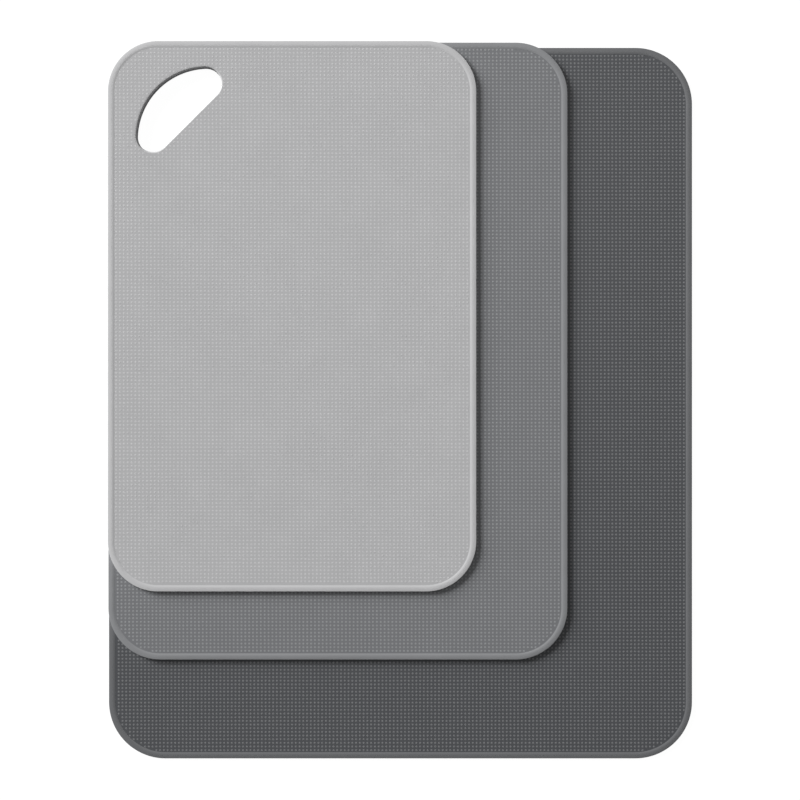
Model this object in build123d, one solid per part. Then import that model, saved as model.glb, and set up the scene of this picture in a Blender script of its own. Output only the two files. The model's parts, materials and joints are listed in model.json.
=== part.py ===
from build123d import *
import os

# A nested set of three flexible cutting mats, lying flat on each other with their left
# edges flush. Each mat is one moulded sheet: a thin field inside a raised rim. One
# D-shaped hanging hole runs through all three near the upper left corner.
# Millimetres. The origin is the middle of the set's footprint, on the surface that it
# lies on. +Y runs along the long sides to the end with the hole, and +Z is up.
#
# A real sheet bends anywhere. Here each one is divided along a few straight bend lines
# into strips that hinge on their upper edges, so that its sides can curl upwards.

# Outlines of the three mats
small_width = 201.5
small_length = 301.0
small_corner_radius = 27.5
medium_width = 251.5
medium_length = 338.0
medium_corner_radius = 28.4
large_width = 320.0
large_length = 390.0
large_corner_radius = 31.0

# How far the top edges of the two lower mats lie below the small mat's top edge
medium_top_step = 0.5
large_top_step = 3.0

# Section that all three sheets share: flat underside, thin field, raised rim with a
# narrow flat land on top
sheet_thickness = 2.0
rim_width = 3.4
rim_height = 0.15
rim_slope_width = 1.2
rim_edge_radius = 0.8
underside_edge_radius = 0.4

# Hanging hole: a shallow arc over a straight side, with rounded corners. The straight
# side runs from lower left to upper right.
hole_width = 25.4
hole_arc_radius = 38.8
hole_corner_radius = 8.7
hole_edge_radius = 0.5
hole_from_left = 36.0
hole_from_top = 34.6
hole_turn_degrees = 45.0

# Bend lines: how many each curling side has, how far from the hole the small mat starts to
# bend, how far a lower mat's bends start from the edge of the mat that lies on it, and the
# share of its exposed side that they take up
bends_per_side = 8
hole_to_bend = 9.0
cover_to_bend = 2.0
exposed_bend_share = 0.5

# How far every cut runs past what it cuts
overrun = 5.0

# Levels of the sheets in the stack, from the surface up
large_level = 0
medium_level = 1
small_level = 2

# Footprint of the stack
stack_length = large_length + large_top_step
stack_height = (small_level + 1) * sheet_thickness
stack_left = -large_width / 2
stack_top = stack_length / 2


def rounded_outline(width, length, corner_radius, inset):
    """Outline of a sheet, drawn in from its edge by the inset."""
    return RectangleRounded(width - 2 * inset, length - 2 * inset, corner_radius - inset)


def sheet_blank(width, length, corner_radius):
    """The sheet before its field is sunk, with its outer edges rounded."""
    blank = extrude(rounded_outline(width, length, corner_radius, 0), sheet_thickness)
    blank = fillet(blank.edges().group_by(Axis.Z)[-1], rim_edge_radius)
    return fillet(blank.edges().group_by(Axis.Z)[0], underside_edge_radius)


def field_recess(width, length, corner_radius):
    """The space over the field: it widens up the rim's inner slope to the rim's land."""
    floor = rounded_outline(width, length, corner_radius, rim_width)
    mouth = rounded_outline(width, length, corner_radius, rim_width - rim_slope_width)
    mouth = Pos(0, 0, rim_height) * mouth
    recess = loft([floor, mouth], ruled=True) + extrude(mouth, overrun)
    return Pos(0, 0, sheet_thickness - rim_height) * recess


def hole_outline():
    """The D of the hanging hole about its own middle, its straight side parallel to X."""
    arc = Pos(0, hole_width / 2 - hole_arc_radius) * Circle(hole_arc_radius)
    size = 2 * hole_arc_radius
    above = Rectangle(size, size, align=(Align.CENTER, Align.MIN))
    shape = arc & (Pos(0, -hole_width / 2) * above)
    return fillet(shape.vertices(), hole_corner_radius)


def hole_cutter():
    """The hanging hole through the whole stack, where it lies."""
    at = Pos(stack_left + hole_from_left, stack_top - hole_from_top, -overrun)
    depth = stack_height + 2 * overrun
    return at * Rot(0, 0, hole_turn_degrees) * extrude(hole_outline(), depth)


def hole_edges(sheet):
    """The edges of the hole in the sheet's two broad faces, its field and its underside."""
    broad_faces = sheet.faces().sort_by(SortBy.AREA)[-2:]
    wires = [wire for face in broad_faces for wire in face.inner_wires()]
    return [edge for wire in wires for edge in wire.edges()]


def sheet(width, length, corner_radius, top_step, level):
    """One whole moulded sheet where it lies in the stack."""
    centre_x = stack_left + width / 2
    centre_y = stack_top - top_step - length / 2
    moulding = sheet_blank(width, length, corner_radius)
    moulding -= field_recess(width, length, corner_radius)
    moulding = Pos(centre_x, centre_y, level * sheet_thickness) * moulding
    moulding -= hole_cutter()
    return fillet(hole_edges(moulding), hole_edge_radius)


def both_sides_bend_lines(width):
    """Bend lines of a sheet that curls up at both sides, alike about its middle. Its outer
    strips are just wide enough to hold the hanging hole whole."""
    side_width = hole_cutter().bounding_box().max.X - stack_left + hole_to_bend
    strip_width = (width - 2 * side_width) / (2 * bends_per_side - 1)
    first = stack_left + side_width
    return [first + i * strip_width for i in range(2 * bends_per_side)]


def right_side_bend_lines(width, cover_width):
    """Bend lines of the exposed right side of a sheet, clear of the mat that covers it. The
    first lies half a strip inside the stretch that bends."""
    strip_width = exposed_bend_share * (width - cover_width) / bends_per_side
    start = stack_left + cover_width + cover_to_bend
    return [start + (i + 0.5) * strip_width for i in range(bends_per_side)]


def slab(left, right):
    """All the space of the stack between two values of X."""
    depth = stack_length + 2 * overrun
    height = stack_height + 2 * overrun
    return Pos((left + right) / 2, 0, 0) * Box(right - left, depth, 2 * height)


def strips(whole, lines):
    """A sheet divided along its bend lines, from left to right."""
    bounds = [stack_left - overrun, *lines, -stack_left + overrun]
    return [whole & slab(left, right) for left, right in zip(bounds, bounds[1:])]


def side_names(mat, side):
    """Names of the strips of one curling side, from the flat part outwards."""
    bends = [f"{mat}_{side}_bend_{i}" for i in range(1, bends_per_side)]
    return [*bends, f"{mat}_{side}_side"]


def small_mat():
    """The small mat on top, whose two long sides curl up into a chute."""
    whole = sheet(small_width, small_length, small_corner_radius, 0, small_level)
    lines = both_sides_bend_lines(small_width)
    left_names = side_names("small_mat", "left")[::-1]
    names = [*left_names, "small_mat_middle", *side_names("small_mat", "right")]
    return dict(zip(names, strips(whole, lines)))


def medium_mat():
    """The medium mat, whose exposed right side curls up."""
    whole = sheet(
        medium_width, medium_length, medium_corner_radius, medium_top_step, medium_level
    )
    lines = right_side_bend_lines(medium_width, small_width)
    names = ["medium_mat_main", *side_names("medium_mat", "right")]
    return dict(zip(names, strips(whole, lines)))


def large_mat():
    """The large mat at the bottom of the stack, whose exposed right side curls up."""
    whole = sheet(large_width, large_length, large_corner_radius, large_top_step, large_level)
    lines = right_side_bend_lines(large_width, medium_width)
    names = ["large_mat_main", *side_names("large_mat", "right")]
    return dict(zip(names, strips(whole, lines)))


os.makedirs("parts", exist_ok=True)
for nodes in (large_mat(), medium_mat(), small_mat()):
    for node, shape in nodes.items():
        export_step(shape, f"parts/{node}.step")
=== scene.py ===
"""Dresses a nested set of three flexible cutting mats around its packed model.

Each mat is made anew from its packed outline and hinges: one moulded sheet with a low domed rim, a
field of small round nubs and a D-shaped hanging hole. The sheet is in stiff ends, which ride on
their bodies, and narrow folds, one across each hinge.
"""

import json
import math
from types import SimpleNamespace

import bpy
import numpy as np
from bpy.props import (
    FloatProperty,
    FloatVectorProperty,
    IntVectorProperty,
    PointerProperty,
)
from mathutils.geometry import tessellate_polygon
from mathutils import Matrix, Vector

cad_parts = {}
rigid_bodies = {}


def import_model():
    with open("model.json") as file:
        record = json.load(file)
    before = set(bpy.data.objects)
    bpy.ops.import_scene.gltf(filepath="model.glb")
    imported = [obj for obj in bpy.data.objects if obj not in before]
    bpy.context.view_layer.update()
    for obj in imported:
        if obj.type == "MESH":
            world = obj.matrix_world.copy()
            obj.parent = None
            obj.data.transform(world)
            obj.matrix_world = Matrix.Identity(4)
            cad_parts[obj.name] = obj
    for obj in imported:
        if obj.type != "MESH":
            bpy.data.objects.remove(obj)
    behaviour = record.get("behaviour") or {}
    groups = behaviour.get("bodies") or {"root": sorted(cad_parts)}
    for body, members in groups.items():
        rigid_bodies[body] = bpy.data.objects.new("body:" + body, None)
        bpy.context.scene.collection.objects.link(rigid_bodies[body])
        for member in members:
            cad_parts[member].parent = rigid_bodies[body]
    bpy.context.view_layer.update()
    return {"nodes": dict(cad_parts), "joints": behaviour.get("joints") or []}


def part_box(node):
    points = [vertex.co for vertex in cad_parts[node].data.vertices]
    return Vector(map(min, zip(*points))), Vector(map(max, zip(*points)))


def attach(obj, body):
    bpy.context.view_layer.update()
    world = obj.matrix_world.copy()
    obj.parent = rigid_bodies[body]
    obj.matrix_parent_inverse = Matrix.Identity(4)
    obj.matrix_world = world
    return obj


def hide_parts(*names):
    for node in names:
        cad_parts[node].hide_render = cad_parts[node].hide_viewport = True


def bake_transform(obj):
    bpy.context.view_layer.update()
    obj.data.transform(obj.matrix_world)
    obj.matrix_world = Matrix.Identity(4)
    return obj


bl_info = {
    "name": "Nested flexible cutting mats",
    "version": (1, 0, 0),
    "blender": (4, 5, 0),
    "location": "3D View > Sidebar > Cutting mats",
    "description": "Sheets, nubs, finishes and studio of a nested set of three cutting mats",
    "category": "Object",
}

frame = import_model()

# From the top of the stack down, in the order of every setting that has three values
MATS = ("small_mat", "medium_mat", "large_mat")
SLOTS = ("light_grey_mat", "mid_grey_mat", "dark_grey_mat")

MM = 0.001
CORNER_STEPS = 26  # steps round each outer corner
EDGE_STEPS = 5  # steps round each rounded edge of the section
RIM_STEPS = 7  # steps up and again down each of the rim's slopes
FOLD_STEPS = 6  # steps across each fold
FOLD_CLEARANCE = 1.25  # a fold's hollow underneath, as a share of what its bend presses down
HOLE_ARC_STEPS = 30  # steps along the hole's long arc
HOLE_CORNER_STEPS = 16  # steps round each of the hole's corners
NUB_SIDES = 8
NUBS_PER_PIECE = 7000  # keeps a piece under 200,000 triangles
GUARD = 0.4 * MM  # flat band round each broad face, which keeps its shading flat
NUB_SINK = 0.01 * MM  # how far a nub's foot lies under the field
SHARP_ANGLE = math.radians(30)
LEVEL_TOLERANCE = 1e-8  # how near to the field's level a point on the field lies
CLOUD_SIZE = 18 * MM  # width of the flow marks in the plastic
CLOUD_DEPTH = 0.05  # share by which they lighten and darken its colour
GLOSS_SPREAD = 0.05  # how far the roughness goes to either side of its mean
SATIN_RELIEF = 0.005 * MM  # depth of the grain that a polished mould leaves
ETCHED_RELIEF = 0.02 * MM  # depth of the grain that an etched mould leaves
FLOOR_REACH = 3.0  # from the floor's middle to its sides
FLOOR_LEVEL = -0.2 * MM


def linear(hex_colour):
    """An sRGB colour such as "#808080" as linear red, green and blue."""
    srgb = np.array([int(hex_colour[i : i + 2], 16) for i in (1, 3, 5)]) / 255
    low, high = srgb / 12.92, ((srgb + 0.055) / 1.055) ** 2.4
    return tuple(float(v) for v in np.where(srgb <= 0.04045, low, high))


class SheetSettings(bpy.types.PropertyGroup):
    """Section and corners of the moulded sheets"""

    corner_radii: FloatVectorProperty(
        name="Corner radii", description="Outer corner radius of the small, medium and large mat",
        default=(27.5 * MM, 28.4 * MM, 31.0 * MM), size=3, min=8 * MM, precision=4, unit="LENGTH",
    )
    rim_width: FloatProperty(
        name="Rim width", description="From the sheet's outer side to the field",
        default=3.4 * MM, min=2 * MM, precision=5, unit="LENGTH",
    )
    rim_height: FloatProperty(
        name="Rim height", description="Height of the rim's crest over the field",
        default=0.15 * MM, min=0.1 * MM, precision=5, unit="LENGTH",
    )
    rim_crest: FloatProperty(
        name="Rim crest", description="From the sheet's outer side to the rim's crest",
        default=2.0 * MM, min=1 * MM, precision=5, unit="LENGTH",
    )
    rim_fall: FloatProperty(
        name="Rim fall", description="How far the rim falls from its crest to its outer edge",
        default=0.14 * MM, min=0.05 * MM, precision=5, unit="LENGTH",
    )
    edge_rounding: FloatProperty(
        name="Edge rounding", description="Rounding of the rim's outer upper edge",
        default=0.1 * MM, min=0.05 * MM, precision=5, unit="LENGTH",
    )
    underside_rounding: FloatProperty(
        name="Underside rounding", description="Rounding of the edges of the underside",
        default=0.4 * MM, min=0.05 * MM, precision=5, unit="LENGTH",
    )


class HoleSettings(bpy.types.PropertyGroup):
    """The D-shaped hanging hole that runs through all three mats"""

    middle: FloatVectorProperty(
        name="Middle", description="Middle of the hole's width, in the frame's X and Y",
        default=(-124 * MM, 161.9 * MM), size=2, precision=4, unit="LENGTH",
    )
    width: FloatProperty(
        name="Width", description="From the straight side to the top of the arc",
        default=25.4 * MM, min=10 * MM, precision=4, unit="LENGTH",
    )
    arc_radius: FloatProperty(
        name="Arc radius", description="Radius of the long arc",
        default=38.8 * MM, min=20 * MM, precision=4, unit="LENGTH",
    )
    corner_radius: FloatProperty(
        name="Corner radius", description="Radius of the two rounded ends",
        default=8.7 * MM, min=2 * MM, precision=4, unit="LENGTH",
    )
    turn: FloatProperty(
        name="Turn", description="Turn of the straight side from the X axis",
        default=math.radians(45), unit="ROTATION",
    )
    lip: FloatProperty(
        name="Lip", description="Rounding of the hole's edge at the field",
        default=0.8 * MM, min=0.05 * MM, precision=5, unit="LENGTH",
    )


class NubSettings(bpy.types.PropertyGroup):
    """The grid of small round nubs on each field"""

    columns: IntVectorProperty(
        name="Columns", description="Nubs across the small, medium and large mat",
        default=(92, 115, 151), size=3, min=2,
    )
    rows: IntVectorProperty(
        name="Rows", description="Nubs along the small, medium and large mat",
        default=(144, 167, 191), size=3, min=2,
    )
    from_left: FloatVectorProperty(
        name="From the left", description="From each mat's left side to the first nubs' middles",
        default=(4.6 * MM, 5.1 * MM, 5.35 * MM), size=3, precision=5, unit="LENGTH",
    )
    from_right: FloatVectorProperty(
        name="From the right", description="From each mat's right side to the last nubs' middles",
        default=(4.9 * MM, 4.8 * MM, 4.4 * MM), size=3, precision=5, unit="LENGTH",
    )
    from_top: FloatVectorProperty(
        name="From the top", description="From each mat's upper side to the first nubs' middles",
        default=(4.45 * MM, 4.0 * MM, 4.45 * MM), size=3, precision=5, unit="LENGTH",
    )
    from_bottom: FloatVectorProperty(
        name="From the bottom", description="From each mat's lower side to the last nubs' middles",
        default=(5.5 * MM, 4.8 * MM, 4.5 * MM), size=3, precision=5, unit="LENGTH",
    )
    diameter: FloatProperty(
        name="Diameter", description="Width of a nub at its foot",
        default=1.3 * MM, min=0.2 * MM, precision=5, unit="LENGTH",
    )
    top_diameter: FloatProperty(
        name="Top diameter", description="Width of a nub's flat top",
        default=1.0 * MM, min=0.1 * MM, precision=5, unit="LENGTH",
    )
    height: FloatProperty(
        name="Height", description="Height of a nub over the field",
        default=0.015 * MM, min=0.01 * MM, precision=5, unit="LENGTH",
    )
    corner_gap: FloatProperty(
        name="Gap to the rim", description="Least distance from a nub's middle to the rim",
        default=0.6 * MM, min=0.5 * MM, precision=5, unit="LENGTH",
    )
    hole_gap: FloatProperty(
        name="Gap to the hole", description="Least distance from a nub's middle to the hole's wall",
        default=1.3 * MM, min=0.5 * MM, precision=5, unit="LENGTH",
    )


class FinishSettings(bpy.types.PropertyGroup):
    """Colours and grain of the moulded plastic"""

    small_colour: FloatVectorProperty(
        name="Small mat", description="Colour of the small mat",
        default=linear("#AFAFB0"), size=3, min=0, max=1, subtype="COLOR",
    )
    medium_colour: FloatVectorProperty(
        name="Medium mat", description="Colour of the medium mat",
        default=linear("#7B7C7E"), size=3, min=0, max=1, subtype="COLOR",
    )
    large_colour: FloatVectorProperty(
        name="Large mat", description="Colour of the large mat",
        default=linear("#5D5E60"), size=3, min=0, max=1, subtype="COLOR",
    )
    # Painted shade: the fields are painted darker than the rims and nubs by this much, standing in
    # for the sheen that the smoother rims and nubs catch and the etched fields spread.
    painted_field_shade: FloatVectorProperty(
        name="Painted field shade", description="How much darker the fields are than the rims",
        default=(0.058, 0.059, 0.057), size=3, min=0, max=0.08, precision=3,
    )
    # Painted sheen: the nubs are painted lighter than the rims by this much, standing in for the
    # highlight that their tops catch.
    painted_nub_sheen: FloatVectorProperty(
        name="Painted nub sheen", description="How much lighter the nubs are than the rims",
        default=(0.022, 0.028, 0.025), size=3, min=0, max=0.1, precision=3,
    )
    satin_roughness: FloatProperty(
        name="Satin roughness", description="Mean roughness of the rims and the nubs",
        default=0.45, min=0.1, max=1, subtype="FACTOR",
    )
    etched_roughness: FloatProperty(
        name="Etched roughness", description="Mean roughness of the fields between the nubs",
        default=0.5, min=0.1, max=1, subtype="FACTOR",
    )
    grain_size: FloatProperty(
        name="Grain size", description="Width of the mould's fine texture",
        default=0.3 * MM, min=0.05 * MM, precision=5, unit="LENGTH",
    )


class StudioSettings(bpy.types.PropertyGroup):
    """Floor, lights and camera"""

    floor_colour: FloatVectorProperty(
        name="Floor", description="Colour of the floor",
        default=(0.08, 0.08, 0.08), size=3, min=0, max=1, subtype="COLOR",
    )
    floor_glow: FloatProperty(
        name="Floor glow", description="Light that the floor gives off, as a light table does",
        default=0.97, min=0, max=5,
    )
    floor_cast: FloatProperty(
        name="Floor cast", description="Share of that light that falls on the mats from below",
        default=0.3, min=0, max=1, subtype="FACTOR",
    )
    key_power: FloatProperty(
        name="Key light", description="Power of the large softbox at the upper left",
        default=10080, min=0, unit="POWER",
    )
    key_height: FloatProperty(
        name="Key height", description="Height of the softbox's middle above the horizon",
        default=math.radians(20), min=0, max=math.pi / 2, unit="ROTATION",
    )
    key_bearing: FloatProperty(
        name="Key bearing", description="Direction of the softbox, turned left from the X axis",
        default=math.radians(145), unit="ROTATION",
    )
    key_distance: FloatProperty(
        name="Key distance", description="From the mats to the softbox",
        default=20, min=0.5, unit="LENGTH",
    )
    key_size: FloatVectorProperty(
        name="Key size", description="Width and height of the softbox",
        default=(9.6, 9.6), size=2, min=0.1, unit="LENGTH",
    )
    top_power: FloatProperty(
        name="Top light", description="Power of the softbox overhead",
        default=8.8, min=0, unit="POWER",
    )
    top_height: FloatProperty(
        name="Top height", description="Height of the overhead softbox's middle above the horizon",
        default=math.radians(77), min=0, max=math.pi / 2, unit="ROTATION",
    )
    top_bearing: FloatProperty(
        name="Top bearing", description="Direction of the overhead softbox",
        default=math.radians(97), unit="ROTATION",
    )
    top_distance: FloatProperty(
        name="Top distance", description="From the mats to the overhead softbox",
        default=2.5, min=0.5, unit="LENGTH",
    )
    top_size: FloatVectorProperty(
        name="Top size", description="Width and height of the overhead softbox",
        default=(1.4, 0.6), size=2, min=0.1, unit="LENGTH",
    )
    fill_strength: FloatProperty(
        name="Fill light", description="Strength of the even light from all round",
        default=0.13, min=0,
    )
    camera_place: FloatVectorProperty(
        name="Camera", description="Place of the camera, which looks straight down",
        default=(-0.27 * MM, 0.22 * MM, 1002 * MM), size=3, precision=5, unit="LENGTH",
    )
    picture_width: FloatProperty(
        name="Picture width", description="Width that the camera sees a metre below itself",
        default=0.43904, min=0.1, precision=4, unit="LENGTH",
    )


def packed_mat(name, scene):
    """One mat as the packed model has it: its box, its hinges from left to right, the bodies
    between them, and the cuts between its pieces, midway between neighbouring hinges. With it come
    the height of its field and its three finishes: satin; etched, with its colour painted darker as
    painted shade; and the nubs' finish, painted lighter as painted sheen."""
    boxes = [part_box(n) for n in frame["nodes"] if n.startswith(name)]
    low = np.min([box[0] for box in boxes], axis=0)
    high = np.max([box[1] for box in boxes], axis=0)
    joints = [j for j in frame["joints"] if j["type"] == "hinge" and j["name"].startswith(name)]
    joints.sort(key=lambda joint: joint["pos_m"][0])
    pairs = [
        sorted((j["parent"], j["child"]), key=lambda body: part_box(body)[0].x) for j in joints
    ]
    hinges = np.array([j["pos_m"][0] for j in joints])
    strip = hinges[1] - hinges[0]
    bend_angle = math.radians(joints[0]["range_deg"][1])
    index = MATS.index(name)
    return SimpleNamespace(
        name=name,
        index=index,
        bend_angle=bend_angle,
        slot=SLOTS[index],
        finishes=finishes_of(index, scene.mat_finish),
        low=low,
        high=high,
        field=high[2] - scene.mat_sheets.rim_height,
        middle=(low + high) / 2,
        half=(high - low) / 2,
        bodies=[pairs[0][0], *(right for _, right in pairs)],
        cuts=np.append(hinges, hinges[-1] + strip) - strip / 2,
    )


def grid_faces(first, rows, columns, closed=False, flip=False):
    """Four-sided faces of a grid of points that are numbered row by row from first. Closed
    joins the last column to the first, and flip turns the faces over."""
    row = first + columns * np.arange(rows - 1)[:, None]
    here = np.arange(columns if closed else columns - 1)
    after = (here + 1) % columns
    corners = [row + here, row + columns + here, row + columns + after, row + after]
    faces = np.stack(corners, -1).reshape(-1, 4)
    return faces[:, ::-1] if flip else faces


def new_piece(mat, name, points, faces, finishes):
    """A smooth-shaded mesh object of the points and faces, each an array with one face a row.
    Its faces on the field get the second of its finishes, and the others the first."""
    faces = [np.atleast_2d(f) for f in faces]
    # The faces on the field take the etched finish, whose colour is painted darker as painted
    # shade.
    etched = [np.isclose(points[f, 2], mat.field, atol=LEVEL_TOLERANCE).all(1) for f in faces]
    corners = np.concatenate([f.ravel() for f in faces]).astype(np.int32)
    sizes = np.concatenate([np.full(len(f), f.shape[1]) for f in faces])
    mesh = bpy.data.meshes.new(name)
    mesh.vertices.add(len(points))
    mesh.vertices.foreach_set("co", points.astype(np.float32).ravel())
    mesh.loops.add(len(corners))
    mesh.loops.foreach_set("vertex_index", corners)
    mesh.polygons.add(len(sizes))
    mesh.polygons.foreach_set("loop_start", (np.cumsum(sizes) - sizes).astype(np.int32))
    mesh.update(calc_edges=True)
    if mesh.validate():
        raise RuntimeError(f"{name} has faces that Blender had to mend")
    mesh.shade_smooth()
    mesh.set_sharp_from_angle(angle=SHARP_ANGLE)
    for finish in finishes:
        mesh.materials.append(finish)
    mesh.polygons.foreach_set("material_index", np.concatenate(etched).astype(np.int32))
    piece = bpy.data.objects.new(name, mesh)
    bpy.context.scene.collection.objects.link(piece)
    return piece


def rim_section(mat, sheet):
    """Section of a sheet's edge from under the field, round the outer side, to the top of the
    field: rows of (distance in from the outer side, height).

    The underside's edge and the rim's outer edge are quarter circles. The rim rises to its
    crest on half a parabola and falls to the field on half of another."""
    crest = mat.high[2] - mat.low[2]
    quarter = np.linspace(0, math.pi / 2, EDGE_STEPS + 1)
    under, outer = sheet.underside_rounding, sheet.edge_rounding
    lower = np.stack([under * (1 - np.sin(quarter)), under * (1 - np.cos(quarter))], 1)

    def rise(inset):
        return crest - sheet.rim_fall * (1 - inset / sheet.rim_crest) ** 2

    edge = outer * (1 - np.cos(quarter))
    edge = np.stack([edge, rise(edge) - outer * (1 - np.sin(quarter))], 1)
    inset = np.linspace(outer, sheet.rim_crest, RIM_STEPS + 1)[1:]
    up = np.stack([inset, rise(inset)], 1)
    inset = np.linspace(sheet.rim_crest, sheet.rim_width, RIM_STEPS + 1)[1:]
    share = (inset - sheet.rim_crest) / (sheet.rim_width - sheet.rim_crest)
    down = crest - sheet.rim_height * share**2
    down = np.stack([inset, down], 1)
    first, last = [[under + GUARD, 0]], [[sheet.rim_width + GUARD, crest - sheet.rim_height]]
    return np.concatenate([first, lower, edge, up, down, last])


def hole_arcs(hole):
    """Places of the hole's arcs in its own frame: the X and Y of the right corner arc's
    centre, the Y of the long arc's centre, and the distance between the two."""
    corner_y = hole.corner_radius - hole.width / 2
    arc_y = hole.width / 2 - hole.arc_radius
    reach = hole.arc_radius - hole.corner_radius
    corner_x = math.sqrt(reach**2 - (corner_y - arc_y) ** 2)
    return corner_x, corner_y, arc_y, reach


def hole_stations(hole):
    """Stations round the hole, anticlockwise, in its own frame: the centre and radius of the
    arc that each lies on, and its direction from that centre.

    The long arc and the straight side are joined by two corner arcs, which touch both."""
    corner_x, corner_y, arc_y, _ = hole_arcs(hole)
    meet = math.atan2(corner_y - arc_y, corner_x)
    arc = np.linspace(meet, math.pi - meet, HOLE_ARC_STEPS, endpoint=False)
    left = np.linspace(math.pi - meet, 1.5 * math.pi, HOLE_CORNER_STEPS)
    right = np.linspace(-math.pi / 2, meet, HOLE_CORNER_STEPS, endpoint=False)
    counts = [len(arc), len(left), len(right)]
    return SimpleNamespace(
        angle=np.concatenate([arc, left, right]),
        x=np.repeat([0, -corner_x, corner_x], counts),
        y=np.repeat([arc_y, corner_y, corner_y], counts),
        radius=np.repeat([hole.arc_radius, hole.corner_radius, hole.corner_radius], counts),
    )


def hole_rings(mat, sheet, hole):
    """Rings round the hole's wall, from the field over the rounded lip and down the wall to
    the underside. Each ring is the hole's outline moved outwards by its distance."""
    quarter = np.linspace(0, math.pi / 2, EDGE_STEPS + 1)
    under = sheet.underside_rounding
    upper = [hole.lip * (1 - np.sin(quarter)), mat.field - hole.lip * (1 - np.cos(quarter))]
    lower = [under * (1 - np.cos(quarter)), mat.low[2] + under * (1 - np.sin(quarter))]
    out = np.concatenate([[hole.lip + GUARD], upper[0], lower[0], [under + GUARD]])
    height = np.concatenate([[mat.field], upper[1], lower[1], [mat.low[2]]])
    at = hole_stations(hole)
    radius = at.radius + out[:, None]
    x = at.x + radius * np.cos(at.angle)
    y = at.y + radius * np.sin(at.angle)
    cos, sin = math.cos(hole.turn), math.sin(hole.turn)
    world_x = hole.middle[0] + cos * x - sin * y
    world_y = hole.middle[1] + sin * x + cos * y
    return np.stack([world_x, world_y, np.broadcast_to(height[:, None], x.shape)], -1)


def hole_distance(hole, x, y):
    """How far points lie outside the hole's wall. It is the distance to the hole's core, the
    outline moved inwards by the corner radius, less that radius."""
    cos, sin = math.cos(hole.turn), math.sin(hole.turn)
    x, y = x - hole.middle[0], y - hole.middle[1]
    across, along = np.abs(cos * x + sin * y), cos * y - sin * x
    corner_x, corner_y, arc_y, reach = hole_arcs(hole)
    to_arc = np.hypot(across, along - arc_y) - reach
    to_side = corner_y - along
    to_corner = np.hypot(across - corner_x, along - corner_y)
    over_arc = (along - arc_y) * corner_x >= across * (corner_y - arc_y)
    under_side = (across <= corner_x) & (along < corner_y)
    distance = np.where(under_side, to_side, np.where(over_arc, to_arc, to_corner))
    return distance - hole.corner_radius


def face_with_hole(points, outer, ring, up):
    """Triangles of the flat face between two loops of point numbers, facing up or down."""
    loops = [[points[i].tolist() for i in loop] for loop in (outer, ring)]
    order = np.concatenate([outer, ring])
    triangles = order[np.array(tessellate_polygon(loops))]
    a, b, c = (points[triangles[:, i]] for i in range(3))
    turned = (np.cross(b - a, c - a)[:, 2] > 0) != up
    triangles[turned] = triangles[turned][:, ::-1]
    return triangles


def end_piece(mat, side, sheet, hole):
    """The stiff end of a sheet beyond its first cut (side -1) or its last one (side 1), with
    the hanging hole in the left one.

    The section is carried along the outline from the cut, round both corners, to the cut
    again. Where the cut lies past the start of a corner, each inset's arc starts where it
    meets the cut."""
    cut, body = (mat.cuts[0], mat.bodies[0]) if side < 0 else (mat.cuts[-1], mat.bodies[-1])
    cut = side * (cut - mat.middle[0])
    inset, height = rim_section(mat, sheet).T
    radius = sheet.corner_radii[mat.index]
    corner_x, corner_y = mat.half[0] - radius, mat.half[1] - radius
    arc = (radius - inset)[:, None]
    start = np.arccos(np.clip((cut - corner_x) / arc, 0, 1))
    turn = start * np.linspace(1, 0, CORNER_STEPS + 1)
    x, y = corner_x + arc * np.cos(turn), corner_y + arc * np.sin(turn)
    if cut < corner_x:
        x = np.concatenate([np.full_like(arc, cut), x], 1)
        y = np.concatenate([corner_y + arc, y], 1)
    x, y = np.concatenate([x, x[:, ::-1]], 1), np.concatenate([y, -y[:, ::-1]], 1)
    rows, columns = x.shape
    z = np.broadcast_to(height[:, None], x.shape)
    points = np.stack([side * x + mat.middle[0], y + mat.middle[1], z + mat.low[2]], -1)
    points = points.reshape(-1, 3)
    numbers = np.arange(rows * columns).reshape(rows, columns)
    cap = np.concatenate([numbers[:, 0], numbers[::-1, -1]])[:: -side]
    faces = [grid_faces(0, rows, columns, flip=side < 0), cap]
    if side > 0:
        faces += [numbers[0], numbers[-1, ::-1]]
    else:
        rings = hole_rings(mat, sheet, hole)
        count = rings.shape[1]
        first = len(points)
        faces.append(grid_faces(first, *rings.shape[:2], closed=True, flip=True))
        points = np.concatenate([points, rings.reshape(-1, 3)])
        top_ring, under_ring = first + np.arange(count), len(points) - count + np.arange(count)
        faces.append(face_with_hole(points, numbers[-1], top_ring, True))
        faces.append(face_with_hole(points, numbers[0], under_ring, False))
    piece = new_piece(mat, f"{body}_sheet", points, faces, mat.finishes[:2])
    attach(piece, body)
    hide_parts(body)
    return piece


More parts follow.
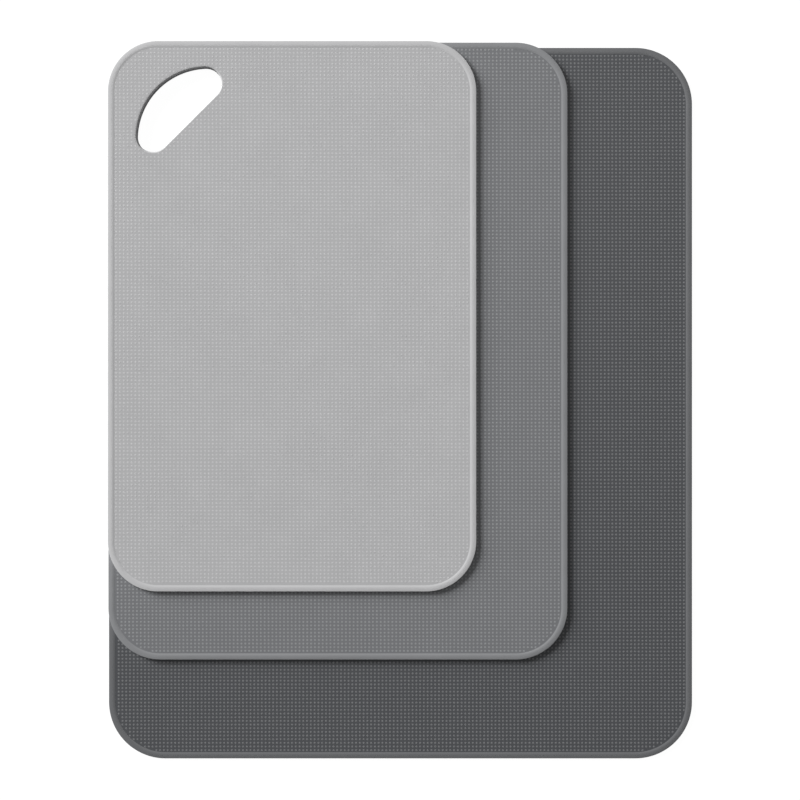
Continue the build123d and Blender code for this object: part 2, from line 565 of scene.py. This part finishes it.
def fold_piece(mat, index, sheet):
    """One fold of a sheet, from a cut to the next, across the hinge between them.

    Its closed section, the rim's at both ends of the sheet's length, is carried across the fold.
    Past the start of a corner each inset follows its arc. The underside is hollowed by a little
    more than the 0.03 mm that bending would press it into the mat below."""
    inset, height = rim_section(mat, sheet).T
    radius = sheet.corner_radii[mat.index]
    x = np.linspace(mat.cuts[index], mat.cuts[index + 1], FOLD_STEPS + 1)
    past = np.clip(np.abs(x - mat.middle[0]) - mat.half[0] + radius, 0, None)[:, None]
    y = mat.half[1] - radius + np.sqrt((radius - inset) ** 2 - past**2)
    y = np.concatenate([y, -y[:, ::-1]], 1) + mat.middle[1]
    share = np.linspace(0, 1, FOLD_STEPS + 1)
    share = np.minimum(share, share[::-1])
    hollow = share**2 * (3 - 2 * share) * (0.5 - share) * (x[-1] - x[0])
    hollow *= FOLD_CLEARANCE * math.sin(mat.bend_angle)
    z = height + hollow[:, None] * np.clip(1 - 2 * height / height.max(), 0, 1)
    z = np.concatenate([z, z[:, ::-1]], 1) + mat.low[2]
    points = np.stack([np.broadcast_to(x[:, None], y.shape), y, z], -1)
    rows, columns = y.shape
    numbers = np.arange(rows * columns).reshape(rows, columns)
    faces = [grid_faces(0, rows, columns, closed=True, flip=True), numbers[0, ::-1], numbers[-1]]
    points = points.reshape(-1, 3)
    piece = new_piece(mat, fold_name(mat, index), points, faces, mat.finishes[:2])
    bend(piece)
    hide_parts(*(b for b in mat.bodies[index : index + 2] if b in mat.bodies[1:-1]))
    return piece


def fold_name(mat, index):
    """Name of a mat's fold, counted from 1 at the left."""
    return f"{mat.name}_fold_{index + 1}"


def bend(piece):
    """Bakes a fold's placing into its mesh; the piece is attached to neither body that its hinge
    joins.
    """
    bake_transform(piece)


def nub_places(mat, sheet, nubs, hole):
    """Middles of a mat's nubs: an even grid over the field, without those whose foot would
    reach the rim's corners or the hole's lip."""
    index = mat.index
    x = np.linspace(
        mat.low[0] + nubs.from_left[index], mat.high[0] - nubs.from_right[index],
        nubs.columns[index],
    )
    y = np.linspace(
        mat.low[1] + nubs.from_bottom[index], mat.high[1] - nubs.from_top[index],
        nubs.rows[index],
    )
    x, y = (axis.ravel() for axis in np.meshgrid(x, y, indexing="ij"))
    radius = sheet.corner_radii[mat.index]
    past_x = np.clip(np.abs(x - mat.middle[0]) - mat.half[0] + radius, 0, None)
    past_y = np.clip(np.abs(y - mat.middle[1]) - mat.half[1] + radius, 0, None)
    on_field = np.hypot(past_x, past_y) <= radius - sheet.rim_width - nubs.corner_gap
    kept = on_field & (hole_distance(hole, x, y) > nubs.hole_gap)
    return np.stack([x[kept], y[kept]], 1)


def nub_shape(nubs):
    """One nub about the middle of its foot: points, and the point numbers of its sides, its
    top and its underside. It is a low cone with a flat top, sunk a little into the field."""
    turn = np.arange(NUB_SIDES) * 2 * math.pi / NUB_SIDES
    ring = np.stack([np.cos(turn), np.sin(turn)], 1)
    foot = np.column_stack([ring * nubs.diameter / 2, np.full(NUB_SIDES, -NUB_SINK)])
    top = np.column_stack([ring * nubs.top_diameter / 2, np.full(NUB_SIDES, nubs.height)])
    here = np.arange(NUB_SIDES)
    after = (here + 1) % NUB_SIDES
    sides = np.stack([here, after, NUB_SIDES + after, NUB_SIDES + here], 1)
    return np.concatenate([foot, top]), sides, NUB_SIDES + here[None], here[None, ::-1]


def nub_piece(mat, name, places, nubs):
    """Many nubs as one piece: the one shape repeated at every place. Its map for a bake looks
    straight down on it, because a nub hides nothing of itself from above."""
    shape, *kinds = nub_shape(nubs)
    feet = np.column_stack([places, np.full(len(places), mat.field)])
    points = (feet[:, None] + shape).reshape(-1, 3)
    firsts = len(shape) * np.arange(len(places))[:, None, None]
    faces = [(firsts + kind).reshape(-1, kind.shape[1]) for kind in kinds]
    # The nubs take the finish that is painted lighter than the satin, a painted sheen.
    piece = new_piece(mat, name, points, faces, mat.finishes[2:])
    low, high = points[:, :2].min(0), points[:, :2].max(0)
    corners = np.zeros(len(piece.data.loops), np.int32)
    piece.data.loops.foreach_get("vertex_index", corners)
    layer = piece.data.uv_layers.new(name="OFBake")
    layer.uv.foreach_set("vector", ((points[:, :2] - low) / (high - low))[corners].ravel())
    return piece


def add_node(tree, kind, links=None, values=None, **settings):
    """Adds a node of the kind with its settings, its inputs' values and its inputs' links."""
    node = tree.nodes.new(kind)
    for key, value in settings.items():
        setattr(node, key, value)
    for key, value in (values or {}).items():
        node.inputs[key].default_value = value
    for key, output in (links or {}).items():
        tree.links.new(output, node.inputs[key])
    return node


def moulded_plastic(name, colour, roughness, grain_size, relief):
    """Thermoplastic polyurethane, injection moulded. To the eye it is an even matte grey with
    a soft sheen on what faces the light, a fine grain that breaks up the sheen, and a faint
    cloudiness from the way that the plastic flowed. Relief is the grain's depth."""
    material = bpy.data.materials.new(name)
    material.use_nodes = True
    tree = material.node_tree
    tree.nodes.clear()
    place = add_node(tree, "ShaderNodeTexCoord").outputs["Object"]
    clouds = add_node(
        tree, "ShaderNodeTexNoise", {"Vector": place},
        {"Scale": 1 / CLOUD_SIZE, "Detail": 2, "Roughness": 0.55},
    )
    tint = add_node(
        tree, "ShaderNodeMix", {"Factor": clouds.outputs["Fac"]}, data_type="RGBA",
    )
    tint.inputs["A"].default_value = (*((1 - CLOUD_DEPTH) * c for c in colour), 1)
    tint.inputs["B"].default_value = (*(min((1 + CLOUD_DEPTH) * c, 1) for c in colour), 1)
    # The mould's texture is about 0.1 mm wide, drawn coarser so that it shows
    grain = add_node(
        tree, "ShaderNodeTexNoise", {"Vector": place},
        {"Scale": 1 / grain_size, "Detail": 3, "Roughness": 0.6},
    )
    gloss = add_node(
        tree, "ShaderNodeMapRange", {"Value": grain.outputs["Fac"]},
        {"From Min": 0.3, "From Max": 0.7,
         "To Min": roughness - GLOSS_SPREAD, "To Max": roughness + GLOSS_SPREAD},
    )
    bump = add_node(
        tree, "ShaderNodeBump", {"Height": grain.outputs["Fac"]},
        {"Strength": 0.5, "Distance": relief},
    )
    shader = add_node(
        tree, "ShaderNodeBsdfPrincipled",
        {"Base Color": tint.outputs["Result"], "Roughness": gloss.outputs["Result"],
         "Normal": bump.outputs["Normal"]},
        {"IOR": 1.5, "Metallic": 0},
    )
    add_node(tree, "ShaderNodeOutputMaterial", {"Surface": shader.outputs["BSDF"]})
    return material


def finishes_of(index, finish):
    """A mat's three finishes, made when they are first asked for: satin, as a polished mould leaves
    it; etched, with a mould's fine texture and its colour painted darker, a painted shade that
    stands in for the sheen which that texture spreads; and the nubs' finish, painted lighter than
    the satin, a painted sheen that stands in for the highlight on their tops."""
    colour = (finish.small_colour, finish.medium_colour, finish.large_colour)[index]
    # Painted shade: the fields' colour, darker than the satin's
    darker = [c - finish.painted_field_shade[index] for c in colour]
    # Painted sheen: the nubs' colour, lighter than the satin's
    lighter = [c + finish.painted_nub_sheen[index] for c in colour]
    kinds = {
        "satin": (colour, finish.satin_roughness, finish.grain_size, SATIN_RELIEF),
        "etched": (darker, finish.etched_roughness, finish.grain_size, ETCHED_RELIEF),
        "rubbed": (lighter, finish.satin_roughness, finish.grain_size, SATIN_RELIEF),
    }
    names = {f"{kind}_moulded_polyurethane_{SLOTS[index]}": kinds[kind] for kind in kinds}
    return [
        bpy.data.materials.get(name) or moulded_plastic(name, *values)
        for name, values in names.items()
    ]


class MouldSheets:
    """What the three sheet operators share"""

    bl_options = {"REGISTER", "UNDO"}

    def execute(self, context):
        scene = context.scene
        mat = packed_mat(self.mat_name, scene)
        for side in (-1, 1):
            end_piece(mat, side, scene.mat_sheets, scene.mat_hole)
        for index in range(len(mat.cuts) - 1):
            fold_piece(mat, index, scene.mat_sheets)
        return {"FINISHED"}


class MouldSmallSheet(MouldSheets, bpy.types.Operator):
    """Mould the small mat's sheet, whose two sides curl up"""

    bl_idname = "cutting_mats.small_sheet"
    bl_label = "Small sheet"
    mat_name = "small_mat"


class MouldMediumSheet(MouldSheets, bpy.types.Operator):
    """Mould the medium mat's sheet, whose right side curls up"""

    bl_idname = "cutting_mats.medium_sheet"
    bl_label = "Medium sheet"
    mat_name = "medium_mat"


class MouldLargeSheet(MouldSheets, bpy.types.Operator):
    """Mould the large mat's sheet, whose right side curls up"""

    bl_idname = "cutting_mats.large_sheet"
    bl_label = "Large sheet"
    mat_name = "large_mat"


class MouldNubs(bpy.types.Operator):
    """Set the nubs on all three fields, each on the piece that its middle lies on"""

    bl_idname = "cutting_mats.nubs"
    bl_label = "Nubs"
    bl_options = {"REGISTER", "UNDO"}

    def execute(self, context):
        scene = context.scene
        for name in MATS:
            mat = packed_mat(name, scene)
            places = nub_places(mat, scene.mat_sheets, scene.mat_nubs, scene.mat_hole)
            region = np.searchsorted(mat.cuts, places[:, 0])
            for index, body in ((0, mat.bodies[0]), (len(mat.cuts), mat.bodies[-1])):
                there = places[region == index]
                blocks = np.array_split(there, math.ceil(len(there) / NUBS_PER_PIECE))
                for number, block in enumerate(blocks, 1):
                    label = f"{body}_nubs_{number}"
                    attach(nub_piece(mat, label, block, scene.mat_nubs), body)
            for index in range(len(mat.cuts) - 1):
                label = f"{fold_name(mat, index)}_nubs"
                there = places[region == index + 1]
                bend(nub_piece(mat, label, there, scene.mat_nubs))
        return {"FINISHED"}


class SetStudio(bpy.types.Operator):
    """Lay the floor, hang the lights and set up the camera straight above the mats"""

    bl_idname = "cutting_mats.studio"
    bl_label = "Studio"
    bl_options = {"REGISTER", "UNDO"}

    def execute(self, context):
        scene = context.scene
        studio = scene.mat_studio
        scene.view_settings.view_transform = "Standard"
        self.lay_floor(scene, studio)
        self.hang_lights(scene, studio)
        camera = bpy.data.cameras.new("camera")
        camera.sensor_width = 36
        camera.lens = camera.sensor_width / studio.picture_width
        holder = bpy.data.objects.new("camera", camera)
        holder.location = studio.camera_place
        scene.collection.objects.link(holder)
        scene.camera = holder
        return {"FINISHED"}

    def lay_floor(self, scene, studio):
        """A wide pale board that glows a little, so that it stays pale in the mats' shade."""
        turns = ((-1, -1), (1, -1), (1, 1), (-1, 1))
        corners = [(x * FLOOR_REACH, y * FLOOR_REACH, FLOOR_LEVEL) for x, y in turns]
        mesh = bpy.data.meshes.new("floor")
        mesh.from_pydata(corners, [], [(0, 1, 2, 3)])
        material = bpy.data.materials.new("matte_pale_board")
        material.use_nodes = True
        tree = material.node_tree
        tree.nodes.clear()
        seen = add_node(tree, "ShaderNodeLightPath").outputs["Is Camera Ray"]
        cast = studio.floor_glow * studio.floor_cast
        glow = add_node(
            tree, "ShaderNodeMath", {0: seen}, {1: studio.floor_glow - cast, 2: cast},
            operation="MULTIPLY_ADD",
        )
        shader = add_node(
            tree, "ShaderNodeBsdfPrincipled", {"Emission Strength": glow.outputs["Value"]},
            {"Base Color": (*studio.floor_colour, 1), "Roughness": 0.9,
             "Specular IOR Level": 0.1, "Emission Color": (1, 1, 1, 1)},
        )
        add_node(tree, "ShaderNodeOutputMaterial", {"Surface": shader.outputs["BSDF"]})
        mesh.materials.append(material)
        floor = bpy.data.objects.new("floor", mesh)
        scene.collection.objects.link(floor)

    def hang_lights(self, scene, studio):
        """A large softbox at the upper left, a second one overhead, and an even fill from
        walls that look as white as the floor."""
        for name in ("key", "top"):
            power, height, bearing, distance, size = (
                getattr(studio, f"{name}_{value}")
                for value in ("power", "height", "bearing", "distance", "size")
            )
            lamp = bpy.data.lights.new(f"{name}_softbox", "AREA")
            lamp.shape = "RECTANGLE"
            lamp.size, lamp.size_y = size
            lamp.energy = power
            holder = bpy.data.objects.new(lamp.name, lamp)
            flat = distance * math.cos(height)
            x, y = flat * math.cos(bearing), flat * math.sin(bearing)
            holder.location = (x, y, distance * math.sin(height))
            holder.rotation_euler = (-holder.location).to_track_quat("-Z", "Y").to_euler()
            scene.collection.objects.link(holder)
        world = bpy.data.worlds.new("studio")
        world.use_nodes = True
        tree = world.node_tree
        tree.nodes.clear()
        seen = add_node(tree, "ShaderNodeLightPath").outputs["Is Camera Ray"]
        light = add_node(
            tree, "ShaderNodeMath", {0: seen},
            {1: 1 - studio.fill_strength, 2: studio.fill_strength}, operation="MULTIPLY_ADD",
        )
        walls = add_node(
            tree, "ShaderNodeBackground", {"Strength": light.outputs["Value"]},
            {"Color": (1, 1, 1, 1)},
        )
        add_node(tree, "ShaderNodeOutputWorld", {"Surface": walls.outputs["Background"]})
        scene.world = world


OPERATORS = (MouldSmallSheet, MouldMediumSheet, MouldLargeSheet, MouldNubs, SetStudio)
SETTINGS = {
    "mat_sheets": SheetSettings,
    "mat_hole": HoleSettings,
    "mat_nubs": NubSettings,
    "mat_finish": FinishSettings,
    "mat_studio": StudioSettings,
}


class CuttingMatsPanel(bpy.types.Panel):
    """Settings and steps of the cutting mats"""

    bl_idname = "VIEW3D_PT_cutting_mats"
    bl_label = "Cutting mats"
    bl_space_type = "VIEW_3D"
    bl_region_type = "UI"
    bl_category = "Cutting mats"

    def draw(self, context):
        for name, settings in SETTINGS.items():
            box = self.layout.box()
            box.label(text=settings.__doc__)
            for key in settings.__annotations__:
                box.prop(getattr(context.scene, name), key)
        for operator in OPERATORS:
            self.layout.operator(operator.bl_idname)


def register():
    for kind in (*SETTINGS.values(), *OPERATORS, CuttingMatsPanel):
        bpy.utils.register_class(kind)
    for name, settings in SETTINGS.items():
        setattr(bpy.types.Scene, name, PointerProperty(type=settings))


def unregister():
    for name in SETTINGS:
        delattr(bpy.types.Scene, name)
    for kind in (CuttingMatsPanel, *OPERATORS, *SETTINGS.values()):
        bpy.utils.unregister_class(kind)


def main():
    register()
    for operator in OPERATORS:
        group, name = operator.bl_idname.split(".")
        getattr(getattr(bpy.ops, group), name)()


if __name__ == "__main__":
    main()
